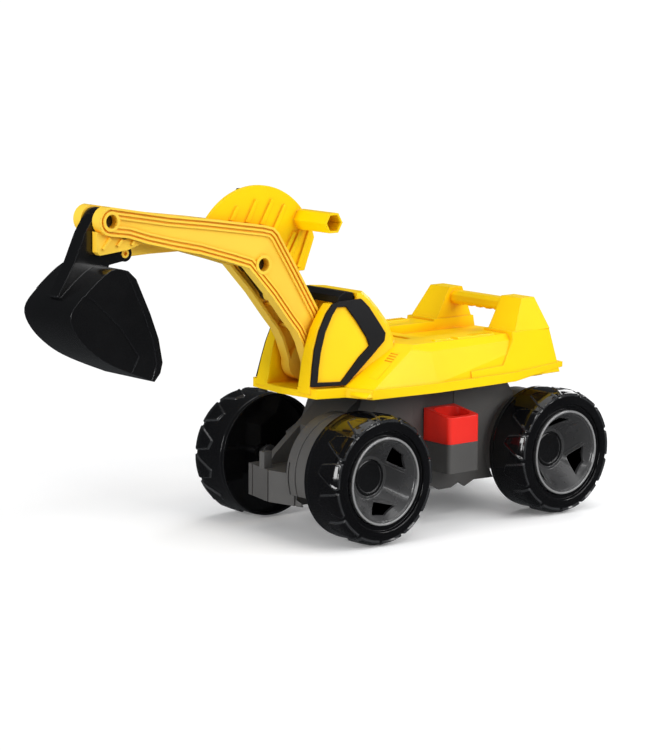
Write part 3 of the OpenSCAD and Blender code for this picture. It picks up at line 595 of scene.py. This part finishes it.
def block(bm, low, high, taper):
    """A block between two corners in millimetres, its top drawn in by taper on every side."""
    (x0, y0, z0), (x1, y1, z1) = low, high
    levels = []
    for z, inset in ((z0, 0.0), (z1, taper)):
        left, right, near, far = x0 + inset, x1 - inset, y0 + inset, y1 - inset
        outline = ((left, near), (right, near), (right, far), (left, far))
        levels.append([bm.verts.new((x * MM, y * MM, z * MM)) for x, y in outline])
    base, top = levels
    bm.faces.new(base[::-1])
    bm.faces.new(top)
    for i in range(4):
        j = (i + 1) % 4
        bm.faces.new((base[i], base[j], top[j], top[i]))


def deck_pads():
    """Raised pads beside the seat, the rear ones with small grip ribs."""
    bm = bmesh.new()
    for hand in (-1, 1):
        y0, y1 = sorted(hand * side for side in PAD_SIDE)
        for (start, end, top), inset in ((REAR_PAD, 0), (FRONT_PAD, FRONT_PAD_INSET)):
            block(bm, (start, y0 + inset, PAD_FOOT), (end, y1 - inset, top), PAD_TAPER)
        for k in range(RIBS):
            x = RIB_START + RIB_PITCH * k
            block(bm, (x, y0 + RIB_INSET, RIB_FOOT), (x + RIB_BREADTH, y1 - RIB_INSET, RIB_TOP), RIB_TAPER)
    obj = new_object("deck_pads", mesh_of(bm, "deck_pads"))
    round_edges(obj, PAD_ROUNDING)
    dress(obj, "upper_body")


deck_pads()


# Camera, floor and light ---------------------------------------------------

# Metres and radians; yaw is from +Y towards +X
CAMERA_PLACE = (-2.4126, -2.6917, 0.7738)
CAMERA_YAW, CAMERA_PITCH, CAMERA_ROLL = 0.701, -0.161, 0.008
CAMERA_LENS, CAMERA_SENSOR = 130.1, 36
# World: what the camera sees, what lights the toy, and what its gloss reflects, as (colour, strength)
BACKDROP = (1, 1, 1, 1), 1.05
AMBIENT = (0.95, 0.97, 1, 1), 0.36
REFLECTED = (0.9, 0.95, 1, 1), 0.05
FLOOR_SIZE, FLOOR_DROP = 6.0, 0.5 * MM
FLOOR_TONES = (0.93, 0.93, 0.93), (0.96, 0.96, 0.96)
FLOOR_ROUGHNESS, FLOOR_GLOW = 0.7, 0.10
# The floor fades out between these distances, which count for less along X
FLOOR_FADE, FLOOR_STRETCH = (0.45, 1.1), (0.8, 1.0, 1.0)
# Area lights: place, target, size and watts
LIGHTS = {
    "near_side": ((0.75, -3.1, 1.7), (0, 0, 0.2), (2.4, 1.3), 57),
    "top": ((0.3, 0.2, 3.2), (0, 0, 0.2), (2.4, 2.4), 28),
    "near_top": ((0.3, -1.7, 2.7), (-0.1, 0, 0.25), (2.6, 0.5), 16),
    "front": ((-3.4, -0.2, 1.0), (-0.2, 0, 0.2), (1.2, 1.4), 74),
    "near_strip": ((-2.2, -2.6, 2.6), (-0.3, 0, 0.2), (1.6, 0.25), 9),
    "rear_near": ((2.4, -2.2, 2.1), (0, 0, 0.1), (0.9, 0.9), 26),
    "rear_rim": ((3.0, 1.6, 1.6), (0.1, 0, 0.2), (1.2, 1.6), 25),
}


def make_camera():
    level = Vector((math.sin(CAMERA_YAW), math.cos(CAMERA_YAW), 0))
    forward = level * math.cos(CAMERA_PITCH) + Vector((0, 0, math.sin(CAMERA_PITCH)))
    right = forward.cross(Vector((0, 0, 1))).normalized()
    up = right.cross(forward)
    rolled_right = math.cos(CAMERA_ROLL) * right + math.sin(CAMERA_ROLL) * up
    rolled_up = math.cos(CAMERA_ROLL) * up - math.sin(CAMERA_ROLL) * right
    data = bpy.data.cameras.new("camera")
    data.lens = CAMERA_LENS
    data.sensor_width = CAMERA_SENSOR
    data.clip_start = 0.05
    data.clip_end = 50
    camera = new_object("camera", data)
    turn = Matrix((rolled_right, rolled_up, -forward)).transposed()
    camera.matrix_world = Matrix.Translation(CAMERA_PLACE) @ turn.to_4x4()
    scene.camera = camera


def softbox(name, place, target, size, power):
    data = bpy.data.lights.new(name, "AREA")
    data.shape = "RECTANGLE"
    data.size, data.size_y = size
    data.energy = power
    lamp = new_object(name, data)
    lamp.location = place
    lamp.rotation_euler = (Vector(target) - Vector(place)).to_track_quat("-Z", "Y").to_euler()


def mix_shaders(tree, amount, one, two):
    """The shader one, or two where amount is 1."""
    node = add(tree, "ShaderNodeMixShader")
    for socket, source in zip(node.inputs, (amount, one, two)):
        link(tree, source, socket)
    return node.outputs[0]


def make_world():
    """White to the camera, dim to the object, and nearly dark in its gloss, so that gloss reads."""
    world = bpy.data.worlds.new("studio")
    scene.world = world
    world.use_nodes = True
    tree = world.node_tree
    tree.nodes.clear()
    out = add(tree, "ShaderNodeOutputWorld")
    path = add(tree, "ShaderNodeLightPath")
    white, soft, dim = (add(tree, "ShaderNodeBackground", Color=colour, Strength=strength).outputs[0]
                        for colour, strength in (BACKDROP, AMBIENT, REFLECTED))
    unseen = mix_shaders(tree, path.outputs["Is Glossy Ray"], soft, dim)
    shown = mix_shaders(tree, path.outputs["Is Camera Ray"], unseen, white)
    link(tree, shown, out.inputs["Surface"])


def floor_paper():
    """White paper with a faint grain, which fades into the white background away from the toy."""
    mat = bpy.data.materials.new("floor_paper")
    mat.use_nodes = True
    tree = mat.node_tree
    bsdf = tree.nodes["Principled BSDF"]
    bsdf.inputs["Roughness"].default_value = FLOOR_ROUGHNESS
    bsdf.inputs["Emission Color"].default_value = (1, 1, 1, 1)
    bsdf.inputs["Emission Strength"].default_value = FLOOR_GLOW
    grain = add(tree, "ShaderNodeTexNoise", Scale=60.0, Detail=3.0)
    link(tree, tint(tree, *FLOOR_TONES, grain.outputs["Fac"]), bsdf.inputs["Base Color"])
    coords = add(tree, "ShaderNodeTexCoord")
    stretch = add(tree, "ShaderNodeVectorMath", operation="MULTIPLY")
    stretch.inputs[1].default_value = FLOOR_STRETCH
    distance = add(tree, "ShaderNodeVectorMath", operation="LENGTH")
    link(tree, coords.outputs["Object"], stretch.inputs[0])
    link(tree, stretch.outputs["Vector"], distance.inputs[0])
    fade = ramp(tree, distance.outputs["Value"], *FLOOR_FADE, 0.0, 1.0, interpolation_type="SMOOTHSTEP")
    clear = add(tree, "ShaderNodeBsdfTransparent")
    shown = mix_shaders(tree, fade, bsdf.outputs["BSDF"], clear.outputs["BSDF"])
    link(tree, shown, tree.nodes["Material Output"].inputs["Surface"])
    return mat


def make_floor():
    bm = bmesh.new()
    bmesh.ops.create_grid(bm, x_segments=8, y_segments=8, size=FLOOR_SIZE)
    floor = new_object("floor", mesh_of(bm, "floor"))
    floor.location.z = -FLOOR_DROP
    floor.data.materials.append(floor_paper())
    floor.visible_glossy = False


make_camera()
make_world()
make_floor()
for name, light in LIGHTS.items():
    softbox(name, *light)
scene.view_settings.view_transform = "Standard"
